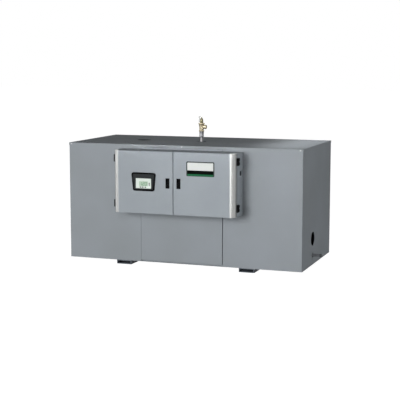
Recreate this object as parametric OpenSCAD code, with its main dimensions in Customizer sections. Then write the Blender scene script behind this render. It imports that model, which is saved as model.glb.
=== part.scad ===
// Horizontal commercial electric water heater: a steel tank lying in a
// sheet-metal jacket on two skids, with a two-door control box on its front
// and a relief valve standing out of its roof.

/* [Jacket] */
// Width of the jacket, left to right
jacket_w = 1905; // [1650:5:2300]
// Depth of the jacket, front to back
jacket_d = 896; // [850:2:1080]
// Height of the jacket, from base pan to roof
jacket_h = 914; // [880:2:1100]
// Thickness of the jacket sheets
sheet_t = 1.5; // [1:0.5:3]
// Outside radius of the jacket's upright corners
bend_r = 5; // [4:1:12]
// How far a front or back sheet is carried round its corner
corner_return = 12; // [12:1:30]
// Height of the lip round the roof
cap_lip = 18; // [14:1:30]
// Thickness of the base pan
pan_t = 3; // [2:0.5:6]

/* [Access panel] */
// Width of the opening between the two front sheets
panel_open_w = 672; // [560:2:800]
// Centre of that opening, from the jacket's centre
panel_shift = -4; // [-20:1:20]
// Gap at the left edge of the panel
panel_gap_left = 2; // [1:0.5:8]
// Gap at the right edge of the panel
panel_gap_right = 6; // [1:0.5:8]
// How far the panel stands out of the sheets beside it
panel_proud = 1.5; // [0:0.5:1.5]
// Height of the panel's lower edge over the base pan's underside
panel_foot = 14; // [8:1:30]
// Depth of the jambs that the panel closes on
jamb_depth = 12; // [8:1:20]
// Width of the jamb's inner flange
jamb_flange = 25; // [15:1:40]

/* [Skids] */
// Width of a skid
skid_w = 122; // [80:2:160]
// Height of a skid
skid_h = 32; // [20:1:60]
// Thickness of a skid's walls
skid_wall = 6; // [3:1:10]
// Distance between the two skids' centre lines
skid_spacing = 1008; // [800:4:1300]
// Distance from the jacket's front and back to the skids' ends
skid_inset = 4; // [0:1:40]
// Offset of the base frame from the jacket's centre
frame_shift = 16; // [-40:1:40]

/* [Tank] */
// Outside diameter of the tank
tank_d = 762; // [600:2:800]
// Length of the tank's straight shell
tank_l = 1520; // [1300:10:1560]
// Thickness of the tank's wall
tank_wall = 5; // [3:0.5:10]
// Height of the dished heads
head_h = 130; // [90:2:150]
// Width of a saddle across the tank
saddle_w = 560; // [400:10:640]
// Thickness of a saddle's plates
saddle_t = 10; // [6:1:16]

/* [Water connections] */
// Place of the hot outlet along the jacket
outlet_x = -494; // [-560:2:-200]
// Diameter of the roof opening over the hot outlet
outlet_open_d = 114; // [108:1:140]
// Place of the cold inlet, across the jacket
inlet_y = -124; // [-160:1:160]
// Height of the cold inlet over the base pan's underside
inlet_h = 202; // [180:2:300]
// Diameter of the opening in the end sheet over the cold inlet
inlet_open_d = 108; // [106:1:140]
// Outside diameter of the outlet and inlet spuds
spud_d = 98; // [94:1:104]
// Bore of the outlet and inlet spuds
spud_bore_d = 80; // [70:1:84]
// Distance from a spud's mouth to the outside of the jacket
spud_recess = 30; // [15:1:40]
// Outside diameter of the drain pipe
drain_d = 21.3; // [17:0.1:27]
// Bore of the drain pipe
drain_bore_d = 15.8; // [10:0.1:16]
// Height of the drain over the base pan's underside
drain_h = 74; // [50:1:76]
// How far the drain stands out of the end sheet
drain_reach = 76; // [60:1:150]
// Place of the drain's tapping along the tank
drain_tap_x = 700; // [600:5:720]

/* [Relief valve] */
// Outside diameter of the relief pipe
relief_pipe_d = 26.7; // [25:0.1:30]
// Bore of the relief pipe
relief_bore_d = 20.9; // [15:0.1:22]
// Diameter of the roof opening round the relief pipe
relief_open_d = 76; // [50:1:90]
// Height of the coupling's lower end over the roof
coupling_base = 39; // [20:1:80]
// Length of the coupling
coupling_l = 41; // [34:1:60]
// Diameter of the coupling
coupling_d = 38; // [33:0.5:44]
// Height of the valve body, with its flange
valve_body_h = 67; // [60:1:80]
// Diameter of the valve body at its foot
valve_foot_d = 38; // [32:0.5:42]
// Diameter of the valve body under its flange
valve_body_d = 44; // [38:0.5:48]
// Diameter of the flange under the bonnet
valve_flange_d = 52; // [46:1:60]
// Diameter of the side outlet's boss
valve_boss_d = 29; // [28:0.5:31]
// Diameter of the collar at the side outlet's mouth
valve_collar_d = 35; // [32:0.5:38]
// Bore of the side outlet
valve_bore_d = 24; // [20:0.5:26]
// How far the side outlet reaches from the valve's centre
valve_boss_reach = 40; // [38:1:60]
// Height of the side outlet over the valve body's foot
valve_boss_rise = 36; // [34:1:38]
// Height of the bonnet
bonnet_h = 37; // [30:1:50]
// Diameter of the bonnet
bonnet_d = 27; // [24:1:40]

/* [Control box] */
// Shift of the box from the middle of the jacket
box_shift = 0; // [-40:1:40]
// Width of the control box
box_w = 976; // [800:4:1000]
// Height of the control box
box_h = 473; // [400:1:480]
// Height of its lower side over the base pan's underside
box_base = 409; // [380:1:420]
// Depth of the control box, doors and all
box_depth = 184; // [170:1:300]
// Thickness of the box's walls
box_wall = 2; // [1.5:0.5:3]
// Width of the flange round each doorway
doorway_flange = 20; // [12:1:30]
// Diameter of the conduit hole in the right wall
conduit_d = 44.5; // [30:0.5:60]
// Distance from the jacket to the conduit hole's centre
conduit_out = 52; // [40:1:100]
// Height of the conduit hole over the box's lower side
conduit_rise = 319; // [250:1:330]
// Distance from the box's back to the mounting plate
plate_standoff = 15; // [8:1:30]

/* [Doors] */
// Thickness of a door, and radius of its rounded edge strip
door_t = 41; // [34:1:44]
// Thickness of the door sheet
door_sheet = 2; // [1.5:0.5:3]
// Gap between the two doors
door_gap = 6; // [5:0.5:10]
// Gap between a door and the box behind it
seal_gap = 3; // [3:0.5:6]
// Wall thickness of the rounded edge strips
strip_wall = 2.5; // [2:0.5:4]
// Height of a hinge
hinge_h = 55; // [40:1:70]
// Distance from a hinge's centre to the end of the door
hinge_end = 63; // [50:1:120]
// Length of a hinge's fixed leaf along the box's side
hinge_leaf = 46; // [36:1:60]
// Diameter of the hinge knuckles
knuckle_d = 12; // [11:0.5:16]
// Diameter of the hinge pins
hinge_pin_d = 6; // [4:0.5:7]

/* [Door fittings] */
// Width of a latch's frame
latch_w = 31; // [26:1:36]
// Height of a latch's frame
latch_h = 77; // [64:1:90]
// Distance from the middle of the door gap to a latch's centre
latch_out = 44; // [36:1:60]
// Height of the latches over the box's lower side
latch_rise = 236; // [200:1:250]
// Width of the display's surround at its top
bezel_top_w = 195; // [180:1:210]
// Width of the display's surround at its foot
bezel_foot_w = 175; // [160:1:178]
// Height of the display's surround
bezel_h = 140; // [126:1:150]
// Radius of the surround's corners
bezel_corner_r = 17; // [8:1:20]
// How far the surround stands out of the door
bezel_proud = 8; // [4:1:14]
// Width of the display's glass
screen_w = 124; // [120:1:140]
// Height of the display's glass
screen_h = 75; // [70:1:90]
// Distance from the middle of the door gap to the display's centre
display_out = 237; // [200:1:250]
// Height of the display's surround over the box's lower side
display_rise = 241; // [200:1:260]
// Width of the nameplate
nameplate_w = 220; // [160:1:240]
// Height of the nameplate
nameplate_h = 110; // [80:1:120]
// Radius of the nameplate's corners
nameplate_corner_r = 9; // [4:1:14]
// Distance from the middle of the door gap to the nameplate's centre
nameplate_out = 217; // [190:1:220]
// Height of the nameplate's centre over the box's lower side
nameplate_rise = 352; // [320:1:360]

/* [Hidden] */
$fn = 64;

fit = 0.3;     // clearance where one piece seats on or in another
pin_fit = 0.1; // radial clearance of a hinge pin
eps = 1;       // how far a cutting shape runs past what it cuts

paint = "#8d9094";
dark = "#1c1d1f";
zinc = "#b5b7ba";

// Heights over the floor
pan_z = skid_h;
floor_z = pan_z + pan_t;
roof_z = skid_h + jacket_h;
wall_top_z = roof_z - sheet_t - fit;

// The jacket's faces, from its centre
front_y = -jacket_d/2;
end_x = jacket_w/2;
wall_inset = sheet_t + fit;
wall_w = jacket_w - 2*wall_inset;
wall_d = jacket_d - 2*wall_inset;

// The tank
tank_r = tank_d/2;
tank_z = skid_h + jacket_h/2;
head_r = (tank_r*tank_r + head_h*head_h)/(2*head_h);
head_centre_x = tank_l/2 + head_h - head_r;
drain_r = drain_d/2;
drain_hole_r = drain_r + fit;
relief_r = relief_pipe_d/2;
relief_hole_r = relief_r + fit;
drain_z = pan_z + drain_h;
inlet_z = pan_z + inlet_h;

// The control box, from its left and right walls to its doors
box_left = box_shift - box_w/2;
box_right = box_shift + box_w/2;
box_z = pan_z + box_base;
box_top_z = box_z + box_h;
door_front = front_y - box_depth;
door_back = door_front + door_t;
box_front = door_back + seal_gap;
doorway_top_z = box_top_z - doorway_flange;
doorway_z = box_z + doorway_flange;
plate_y = front_y - box_wall - plate_standoff;
plate_face_y = plate_y - box_wall;

// The doors' hinges
hinge_leaf_t = 2;
pivot_y = door_back + hinge_leaf_t/2;
pivot_out = knuckle_d/2 + 1;

// The relief valve, upwards from the roof
coupling_z = roof_z + coupling_base;
valve_z = coupling_z + coupling_l;
bonnet_z = valve_z + valve_body_h;
lever_pin_z = bonnet_z + bonnet_h + 9;

// The whole part is placed so that its origin is the centre of its
// footprint, at floor level.
origin_x = drain_reach/2;
origin_y = -(box_depth + bezel_proud)/2;

module placed() {
  translate([-origin_x, -origin_y, 0]) children();
}

// A block given by its lowest and highest corners.
module block(low, high) {
  translate(low) cube(high - low);
}

// A rectangle with round corners, centred.
module round_rect(w, d, r) {
  square([w - 2*r, d], center = true);
  square([w, d - 2*r], center = true);
  for (sx = [-1, 1], sy = [-1, 1]) {
    translate([sx*(w/2 - r), sy*(d/2 - r)]) circle(r = r);
  }
}

// ---- Base -------------------------------------------------------------

// A skid is a box section with open ends.
module skid(x) {
  run = jacket_d - 2*skid_inset;
  translate([x - skid_w/2, -run/2, 0]) difference() {
    cube([skid_w, run, skid_h]);
    translate([skid_wall, -eps, skid_wall]) {
      cube([skid_w - 2*skid_wall, run + 2*eps, skid_h - 2*skid_wall]);
    }
  }
}

module skid_left() {
  color("#3a3c3e") placed() skid(frame_shift - skid_spacing/2);
}

module skid_right() {
  color("#3a3c3e") placed() skid(frame_shift + skid_spacing/2);
}

// The pan carries the sheets; a rail closes the foot of each panel opening.
module base_pan() {
  rail_h = panel_foot + 20;
  rail_y = front_y + wall_inset + jamb_depth;
  color(paint) placed() {
    translate([0, 0, pan_z]) linear_extrude(height = pan_t) {
      round_rect(jacket_w, jacket_d, bend_r);
    }
    for (turn = [0, 180]) rotate([0, 0, turn]) {
      block(
        [rail_left(turn), rail_y, floor_z],
        [rail_right(turn), rail_y + sheet_t, floor_z + rail_h]
      );
    }
  }
}

// The panel opening's sides, as seen from the front and, turned round,
// from the back.
function opening_left(turn) = (turn == 0 ? 1 : -1)*panel_shift - panel_open_w/2;
function opening_right(turn) = (turn == 0 ? 1 : -1)*panel_shift + panel_open_w/2;
function rail_left(turn) = opening_left(turn) + jamb_flange + fit;
function rail_right(turn) = opening_right(turn) - jamb_flange - fit;

// A saddle stands on the pan and cradles the tank.
module saddle(x) {
  saddle_top_z = tank_z - tank_r*0.7;
  foot_w = 6*saddle_t;
  difference() {
    union() {
      block(
        [x - saddle_t/2, -saddle_w/2, floor_z],
        [x + saddle_t/2, saddle_w/2, saddle_top_z]
      );
      block(
        [x - foot_w/2, -saddle_w/2, floor_z],
        [x + foot_w/2, saddle_w/2, floor_z + saddle_t]
      );
    }
    along_tank(x - foot_w) cylinder(r = tank_r + fit, h = 2*foot_w, $fn = 128);
  }
}

module saddle_left() {
  color(dark) placed() saddle(frame_shift - skid_spacing/2);
}

module saddle_right() {
  color(dark) placed() saddle(frame_shift + skid_spacing/2);
}

// ---- Tank -------------------------------------------------------------

// Lays a shape along the tank's axis, starting at x.
module along_tank(x) {
  translate([x, 0, tank_z]) rotate([0, 90, 0]) children();
}

module tank_shell() {
  color("#2f3133") placed() difference() {
    along_tank(-tank_l/2) cylinder(r = tank_r, h = tank_l, $fn = 128);
    along_tank(-tank_l/2 - eps) {
      cylinder(r = tank_r - tank_wall, h = tank_l + 2*eps, $fn = 128);
    }
    translate([outlet_x, 0, tank_z]) cylinder(d = spud_bore_d, h = tank_r + eps);
    translate([0, 0, tank_z]) cylinder(d = relief_bore_d, h = tank_r + eps);
    translate([drain_tap_x, inlet_y, tank_z - tank_r]) cylinder(d = drain_bore_d, h = tank_r);
  }
}

// A dished head is a cap of a sphere, turned about the tank's axis.
module tank_head() {
  along_tank(tank_l/2) rotate_extrude($fn = 128) intersection() {
    difference() {
      translate([0, head_h - head_r]) circle(r = head_r, $fn = 256);
      translate([0, head_h - head_r]) circle(r = head_r - tank_wall, $fn = 256);
    }
    square([tank_r, head_h + eps]);
  }
}

module tank_head_left() {
  color("#2f3133") placed() mirror([1, 0, 0]) tank_head();
}

module tank_head_right() {
  color("#2f3133") placed() difference() {
    tank_head();
    translate([tank_l/2 - eps, inlet_y, inlet_z]) rotate([0, 90, 0]) {
      cylinder(d = spud_bore_d, h = head_h + 2*eps);
    }
  }
}

// A spud is a threaded tube welded to the tank.
module spud(outer_d, bore_d, length) {
  difference() {
    cylinder(d = outer_d, h = length);
    translate([0, 0, -eps]) cylinder(d = bore_d, h = length + 2*eps);
  }
}

module outlet_spud() {
  foot_z = tank_z + tank_r*0.97;
  color(zinc) placed() difference() {
    translate([outlet_x, 0, foot_z]) {
      spud(spud_d, spud_bore_d, roof_z - spud_recess - foot_z);
    }
    along_tank(outlet_x - spud_d) cylinder(r = tank_r + fit, h = 2*spud_d, $fn = 128);
  }
}

module inlet_spud() {
  foot_x = tank_l/2 + fit;
  color(zinc) placed() difference() {
    translate([foot_x, inlet_y, inlet_z]) rotate([0, 90, 0]) {
      spud(spud_d, spud_bore_d, end_x - spud_recess - foot_x);
    }
    translate([head_centre_x, 0, tank_z]) sphere(r = head_r + fit, $fn = 128);
  }
}

// The drain drops from the tank, turns in an elbow and runs out of the end.
module drain_pipe() {
  elbow_r = drain_r + 4;
  tip_x = end_x + drain_reach - cap_end - fit;
  color("#77797c") placed() difference() {
    translate([drain_tap_x, inlet_y, drain_z]) {
      rotate([0, 90, 0]) cylinder(r = drain_r, h = tip_x - drain_tap_x);
      cylinder(r = drain_r, h = tank_z - drain_z);
      sphere(r = elbow_r);
    }
    along_tank(drain_tap_x - drain_d) cylinder(r = tank_r + fit, h = 2*drain_d, $fn = 128);
    translate([drain_tap_x, inlet_y, drain_z]) rotate([0, 90, 0]) {
      cylinder(d = drain_bore_d, h = tip_x - drain_tap_x + eps);
    }
  }
}

grommet_lip = 5; // width of the grommet's lip, over the sheet
grommet_t = 3;   // thickness of the grommet's rubber

module drain_grommet() {
  sleeve_r = drain_hole_r + grommet_t;
  color(dark) placed() translate([end_x - wall_inset, inlet_y, drain_z]) {
    rotate([0, 90, 0]) difference() {
      union() {
        translate([0, 0, fit]) cylinder(r = sleeve_r + grommet_lip, h = grommet_t);
        translate([0, 0, -sheet_t]) cylinder(r = sleeve_r, h = sheet_t + grommet_t);
      }
      translate([0, 0, -sheet_t - eps]) {
        cylinder(r = drain_hole_r, h = sheet_t + grommet_t + 2*eps);
      }
    }
  }
}

cap_l = 20;   // length of the drain's cap
cap_end = 5;  // thickness of its closed end
cap_wall = 3; // thickness of its wall round the pipe

module drain_cap() {
  color("#3c3e40") placed() {
    translate([end_x + drain_reach - cap_l, inlet_y, drain_z]) {
      rotate([0, 90, 0]) difference() {
        cylinder(r = drain_hole_r + cap_wall, h = cap_l);
        translate([0, 0, -eps]) cylinder(r = drain_hole_r, h = cap_l - cap_end + eps);
      }
    }
  }
}

// ---- Relief valve -----------------------------------------------------

relief_spud_h = 36;    // height of the relief spud over the tank's crown
relief_spud_wall = 7.5; // thickness of its wall
thread_l = 15;         // how far a pipe is screwed into its fitting

module relief_spud() {
  foot_z = tank_z + tank_r - relief_spud_wall/2;
  outer_d = 2*(relief_hole_r + relief_spud_wall);
  color(zinc) placed() difference() {
    translate([0, 0, foot_z]) {
      spud(outer_d, 2*relief_hole_r, tank_z + tank_r + relief_spud_h - foot_z);
    }
    along_tank(-outer_d) cylinder(r = tank_r + fit, h = 2*outer_d, $fn = 128);
  }
}

module relief_pipe() {
  foot_z = tank_z + tank_r + relief_spud_h - thread_l;
  color("#c6c8cb") placed() translate([0, 0, foot_z]) {
    spud(relief_pipe_d, relief_bore_d, coupling_z + thread_l - foot_z);
  }
}

module relief_coupling() {
  color("#b0b2b5") placed() translate([0, 0, coupling_z]) {
    spud(coupling_d, 2*relief_hole_r, coupling_l);
  }
}

hex_h = 10;         // height of the valve body's hexagon foot
valve_flange_t = 8; // thickness of the flange under the bonnet
collar_l = 12;      // length of the collar at the side outlet's mouth
outlet_depth = 18;  // depth of the side outlet's bore

// The body grows from a hexagon foot to a flange, with a boss on one side.
module relief_body() {
  color("#b08d4e") placed() translate([0, 0, valve_z]) difference() {
    union() {
      translate([0, 0, -thread_l]) cylinder(r = relief_r, h = thread_l + eps);
      cylinder(d = valve_foot_d/cos(30), h = hex_h, $fn = 6);
      translate([0, 0, hex_h]) {
        cylinder(
          d1 = valve_foot_d, d2 = valve_body_d,
          h = valve_body_h - hex_h - valve_flange_t
        );
      }
      translate([0, 0, valve_body_h - valve_flange_t]) {
        cylinder(d = valve_flange_d, h = valve_flange_t);
      }
      translate([0, 0, valve_boss_rise]) rotate([0, 90, 0]) {
        cylinder(d = valve_boss_d, h = valve_boss_reach);
        translate([0, 0, valve_boss_reach - collar_l]) {
          cylinder(d = valve_collar_d, h = collar_l);
        }
      }
    }
    translate([valve_boss_reach - outlet_depth, 0, valve_boss_rise]) rotate([0, 90, 0]) {
      cylinder(d = valve_bore_d, h = outlet_depth + eps);
    }
  }
}

stem_d = 7;      // diameter of the stem out of the bonnet
stem_end = 3;    // how far the stem stands over the pin's centre
lever_pin_d = 4; // diameter of the lever's pin
lever_w = 17;    // width of the lever, outside its two ears
lever_t = 2;     // thickness of the lever's metal
ear_half = 5;    // half the length of an ear
ear_drop = 4;    // how far an ear reaches under the pin's centre
lever_rise = 6;  // height of the lever's underside over the pin's centre
tail_out = 21;   // reach of the lever's tail from the pin
tail_drop = 40;  // how far the tail hangs under the pin's centre

module relief_bonnet() {
  band_h = 14;
  pin_rise = lever_pin_z - bonnet_z - fit;
  color(zinc) placed() translate([0, 0, bonnet_z + fit]) {
    cylinder(d = bonnet_d, h = band_h);
    translate([0, 0, band_h]) {
      cylinder(d1 = bonnet_d, d2 = bonnet_d*0.75, h = bonnet_h - band_h);
    }
    cylinder(d = stem_d, h = pin_rise + stem_end);
    translate([0, 0, pin_rise]) rotate([90, 0, 0]) {
      cylinder(d = lever_pin_d, h = lever_w + 2, center = true);
    }
  }
}

// The lever straddles the stem on two ears and hangs down on one side.
module relief_lever() {
  color(zinc) placed() translate([0, 0, lever_pin_z]) {
    for (side = [-1, 1]) difference() {
      translate([-ear_half, side*(lever_w - lever_t)/2 - lever_t/2, -ear_drop]) {
        cube([2*ear_half, lever_t, ear_drop + lever_rise]);
      }
      rotate([90, 0, 0]) cylinder(r = lever_pin_d/2 + pin_fit, h = 2*lever_w, center = true);
    }
    translate([-tail_out, -lever_w/2, lever_rise]) {
      cube([tail_out + ear_half, lever_w, lever_t]);
    }
    translate([-tail_out, -lever_w/2, -tail_drop]) {
      cube([lever_t, lever_w, tail_drop + lever_rise + lever_t]);
    }
  }
}

// ---- Jacket -----------------------------------------------------------

// The outline of the upright sheets, all the way round.
module wall_outline() {
  difference() {
    round_rect(wall_w, wall_d, bend_r);
    round_rect(wall_w - 2*sheet_t, wall_d - 2*sheet_t, bend_r - sheet_t);
  }
}

module upright(height_from, height_to) {
  translate([0, 0, height_from]) linear_extrude(height = height_to - height_from) children();
}

// One front sheet, from its round corner to its jamb; side is -1 or 1.
module front_sheet(side, turn) {
  edge = side < 0 ? opening_left(turn) : opening_right(turn);
  sheet_y = front_y + wall_inset;
  flange_y = sheet_y + jamb_depth;
  upright(floor_z, wall_top_z) intersection() {
    wall_outline();
    translate([min(side*end_x, edge), front_y]) {
      square([abs(side*end_x - edge), wall_inset + corner_return]);
    }
  }
  upright(floor_z, wall_top_z - cap_lip) {
    translate([side < 0 ? edge - sheet_t : edge, sheet_y]) {
      square([sheet_t, jamb_depth + sheet_t]);
    }
    translate([side < 0 ? edge - sheet_t : edge - jamb_flange, flange_y]) {
      square([jamb_flange + sheet_t, sheet_t]);
    }
  }
}

// The panel is a shallow pan that closes the opening.
module panel(turn) {
  left = opening_left(turn) + panel_gap_left;
  right = opening_right(turn) - panel_gap_right;
  face_y = front_y + wall_inset - panel_proud;
  back_y = front_y + wall_inset + jamb_depth - fit;
  foot_z = pan_z + panel_foot;
  top_z = roof_z - cap_lip - 2;
  difference() {
    block([left, face_y, foot_z], [right, back_y, top_z]);
    block(
      [left + sheet_t, face_y + sheet_t, foot_z + sheet_t],
      [right - sheet_t, back_y + eps, top_z - sheet_t]
    );
  }
}

module front_sheet_left() {
  color(paint) placed() front_sheet(-1, 0);
}

module front_sheet_right() {
  color(paint) placed() front_sheet(1, 0);
}

module access_panel() {
  color(paint) placed() panel(0);
}

module back_sheet_left() {
  color(paint) placed() rotate([0, 0, 180]) front_sheet(1, 180);
}

module back_sheet_right() {
  color(paint) placed() rotate([0, 0, 180]) front_sheet(-1, 180);
}

module back_panel() {
  color(paint) placed() rotate([0, 0, 180]) panel(180);
}

// An end sheet runs between the front and back sheets' corner returns.
module end_sheet(side) {
  seam_y = wall_d/2 - corner_return - fit;
  upright(floor_z, wall_top_z) {
    translate([side < 0 ? -wall_w/2 : wall_w/2 - sheet_t, -seam_y]) {
      square([sheet_t, 2*seam_y]);
    }
  }
}

module end_sheet_left() {
  color(paint) placed() end_sheet(-1);
}

module end_sheet_right() {
  hole_x = end_x - wall_inset - sheet_t - eps;
  color(paint) placed() difference() {
    end_sheet(1);
    translate([hole_x, inlet_y, inlet_z]) rotate([0, 90, 0]) {
      cylinder(d = inlet_open_d, h = sheet_t + 2*eps);
    }
    translate([hole_x, inlet_y, drain_z]) rotate([0, 90, 0]) {
      cylinder(r = drain_hole_r + grommet_t + fit, h = sheet_t + 2*eps);
    }
  }
}

// The roof is a cap with a lip that comes down over the sheets.
module roof() {
  lip_inner_w = jacket_w - 2*sheet_t;
  lip_inner_d = jacket_d - 2*sheet_t;
  color(paint) placed() translate([0, 0, roof_z - cap_lip]) difference() {
    linear_extrude(height = cap_lip) round_rect(jacket_w, jacket_d, bend_r);
    translate([0, 0, -eps]) linear_extrude(height = cap_lip - sheet_t + eps) {
      round_rect(lip_inner_w, lip_inner_d, bend_r - sheet_t);
    }
    translate([outlet_x, 0, 0]) cylinder(d = outlet_open_d, h = cap_lip + eps);
    cylinder(d = relief_open_d, h = cap_lip + eps);
  }
}

// ---- Control box ------------------------------------------------------

// A box with two doorways and a post between them.
module control_box() {
  color(paint) placed() difference() {
    block([box_left, box_front, box_z], [box_right, front_y, box_top_z]);
    block(
      [box_left + box_wall, box_front + box_wall, box_z + box_wall],
      [box_right - box_wall, front_y - box_wall, box_top_z - box_wall]
    );
    block(
      [box_left + doorway_flange, box_front - eps, doorway_z],
      [box_shift - doorway_flange, box_front + box_wall + eps, doorway_top_z]
    );
    block(
      [box_shift + doorway_flange, box_front - eps, doorway_z],
      [box_right - doorway_flange, box_front + box_wall + eps, doorway_top_z]
    );
    translate([box_right - box_wall - eps, front_y - conduit_out, box_z + conduit_rise]) {
      rotate([0, 90, 0]) cylinder(d = conduit_d, h = box_wall + 2*eps);
    }
  }
}

plate_margin = 50; // from the box's walls to the mounting plate's edges

module mounting_plate() {
  low_x = box_left + plate_margin;
  high_x = box_right - plate_margin;
  low_z = box_z + plate_margin;
  high_z = box_top_z - plate_margin;
  color("#c9cbce") placed() {
    block([low_x, plate_face_y, low_z], [high_x, plate_y, high_z]);
    for (x = [low_x + 30, high_x - 30], z = [low_z + 30, high_z - 30]) {
      translate([x, plate_y, z]) rotate([-90, 0, 0]) cylinder(r = 6, h = plate_standoff);
    }
  }
}

// A block that is screwed to the mounting plate, by its centre and size.
module on_plate(x, z, w, h, depth) {
  block([x - w/2, plate_face_y - depth, z - h/2], [x + w/2, plate_face_y, z + h/2]);
}

contactor_w = 70;
contactor_pitch = 84;
contactor_row = [for (i = [0:3]) box_shift + 110 + i*contactor_pitch];
contactor_z = box_top_z - 130;
fuse_z = box_z + 130;

module contactors() {
  color("#26282a") placed() for (x = contactor_row) {
    on_plate(x, contactor_z, contactor_w, 84, 40);
    translate([0, -40, 0]) on_plate(x, contactor_z, contactor_w - 8, 56, 28);
  }
}

module fuse_blocks() {
  color("#26282a") placed() for (x = contactor_row) {
    on_plate(x, fuse_z, contactor_w, 80, 12);
    for (i = [-1:1]) translate([0, -12, 0]) on_plate(x + i*22, fuse_z, 15, 60, 22);
  }
}

module terminal_strip() {
  color("#d8d2c0") placed() {
    on_plate(box_shift - 250, fuse_z, 220, 44, 10);
    for (i = [0:9]) translate([0, -10, 0]) {
      on_plate(box_shift - 340 + i*20, fuse_z, 16, 36, 22);
    }
  }
}

module control_transformer() {
  color("#3a3532") placed() {
    on_plate(box_shift - 130, contactor_z, 90, 100, 4);
    translate([0, -4, 0]) on_plate(box_shift - 130, contactor_z, 76, 64, 66);
  }
}

// ---- Doors ------------------------------------------------------------

// A door is a pan, open at its back; side is -1 for the left one.
module door(side) {
  inner = box_shift + side*door_gap/2;
  outer = (side < 0 ? box_left : box_right) - side*door_t;
  low_x = min(inner, outer);
  high_x = max(inner, outer);
  difference() {
    block([low_x, door_front, box_z], [high_x, door_back, box_top_z]);
    block(
      [low_x + door_sheet, door_front + door_sheet, box_z + door_sheet],
      [high_x - door_sheet, door_back + eps, box_top_z - door_sheet]
    );
    translate([box_shift + side*latch_out, door_front, box_z + latch_rise]) {
      cube([latch_w - 4, 4*door_sheet, latch_h - 4], center = true);
    }
  }
}

// The display's place on the left door.
display_x = box_shift - display_out;
display_z = box_z + display_rise;
screen_drop = 12; // the glass sits this far under the surround's middle
case_w = screen_w + 14;
case_h = screen_h + 14;

module door_left() {
  color(paint) placed() difference() {
    door(-1);
    block(
      [display_x - case_w/2 - fit, door_front - eps, display_z - screen_drop - case_h/2 - fit],
      [display_x + case_w/2 + fit, door_front + 2*door_sheet, display_z - screen_drop + case_h/2 + fit]
    );
  }
}

module door_right() {
  color(paint) placed() door(1);
}

// The rounded aluminium strip along a door's outer edge.
module edge_strip(side) {
  centre_x = (side < 0 ? box_left : box_right) - side*door_t;
  inner_r = door_t - strip_wall;
  translate([centre_x, door_back, box_z]) scale_side(side) {
    linear_extrude(height = box_h) difference() {
      intersection() {
        circle(r = door_t, $fn = 96);
        translate([0, -door_t]) square(door_t);
      }
      intersection() {
        circle(r = inner_r, $fn = 96);
        translate([strip_wall, -door_t]) square([door_t, door_t - strip_wall]);
      }
    }
  }
}

// Mirrors a shape made for the right side to the left.
module scale_side(side) {
  if (side < 0) mirror([1, 0, 0]) children();
  else children();
}

module edge_strip_left() {
  color("#d9dadc") placed() edge_strip(-1);
}

module edge_strip_right() {
  color("#d9dadc") placed() edge_strip(1);
}

// Both hinges of one door, each around its own middle.
module at_hinges(side) {
  wall_x = side < 0 ? box_left : box_right;
  for (z = [box_z + hinge_end, box_top_z - hinge_end]) {
    translate([wall_x, pivot_y, z]) scale_side(side) children();
  }
}

hinge_body_t = 9; // thickness of the fixed leaf
lobe_r = 13;      // radius of its two round ends

// The fixed half: a leaf on the box's side, the lower knuckle and the pin.
module box_hinges(side) {
  at_hinges(side) {
    rotate([90, 0, 90]) linear_extrude(height = hinge_body_t) {
      translate([knuckle_d/2 + 2, -hinge_h/2]) {
        square([hinge_leaf - lobe_r - knuckle_d/2 - 2, hinge_h]);
      }
      for (end = [-1, 1]) {
        translate([hinge_leaf - lobe_r, end*(hinge_h/2 - lobe_r)]) circle(r = lobe_r);
      }
    }
    block([knuckle_d/2 - 3, 0, -hinge_h/2], [hinge_body_t, knuckle_d/2 + 3, -fit]);
    translate([pivot_out, 0, -hinge_h/2]) {
      cylinder(d = knuckle_d, h = hinge_h/2 - fit);
      cylinder(d = hinge_pin_d, h = hinge_h);
    }
  }
}

// The moving half: the upper knuckle and a leaf behind the edge strip.
module door_hinges(side) {
  at_hinges(side) difference() {
    union() {
      translate([pivot_out, 0, fit]) cylinder(d = knuckle_d, h = hinge_h/2 - fit);
      block([-door_t + 3, -hinge_leaf_t/2, fit], [pivot_out, hinge_leaf_t/2, hinge_h/2]);
    }
    translate([pivot_out, 0, 0]) cylinder(d = hinge_pin_d + 2*pin_fit, h = hinge_h);
  }
}

module box_hinges_left() {
  color(dark) placed() box_hinges(-1);
}

module box_hinges_right() {
  color(dark) placed() box_hinges(1);
}

module door_hinges_left() {
  color(dark) placed() door_hinges(-1);
}

module door_hinges_right() {
  color(dark) placed() door_hinges(1);
}

latch_proud = 3;  // how far a latch's frame stands out of its door
latch_depth = 22; // how deep a latch reaches into the door

// A flush latch: a frame, a finger well and a paddle in its lower part.
module latch(side) {
  rim = 4;
  body_w = latch_w - 4 - 2*fit;
  body_h = latch_h - 4 - 2*fit;
  well = [latch_w - 2*rim, latch_depth - 6, latch_h - 2*rim];
  translate([box_shift + side*latch_out, door_front, box_z + latch_rise]) {
    difference() {
      union() {
        translate([-latch_w/2, -latch_proud, -latch_h/2]) cube([latch_w, latch_proud, latch_h]);
        translate([-body_w/2, -eps, -body_h/2]) cube([body_w, latch_depth + eps, body_h]);
      }
      translate([-well.x/2, -latch_proud - eps, -well.z/2]) cube(well);
    }
    translate([-well.x/2, -latch_proud + 1, -well.z/2]) {
      cube([well.x, latch_depth - 6, well.z*0.62]);
    }
  }
}

module latch_left() {
  color(dark) placed() latch(-1);
}

module latch_right() {
  color(dark) placed() latch(1);
}

// A flat piece upright on a door's face, drawn as it is seen from the front.
module on_door(x, z, out, thickness) {
  translate([x, door_front - out, z]) rotate([90, 0, 0]) {
    translate([0, 0, -thickness]) linear_extrude(height = thickness) children();
  }
}

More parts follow.
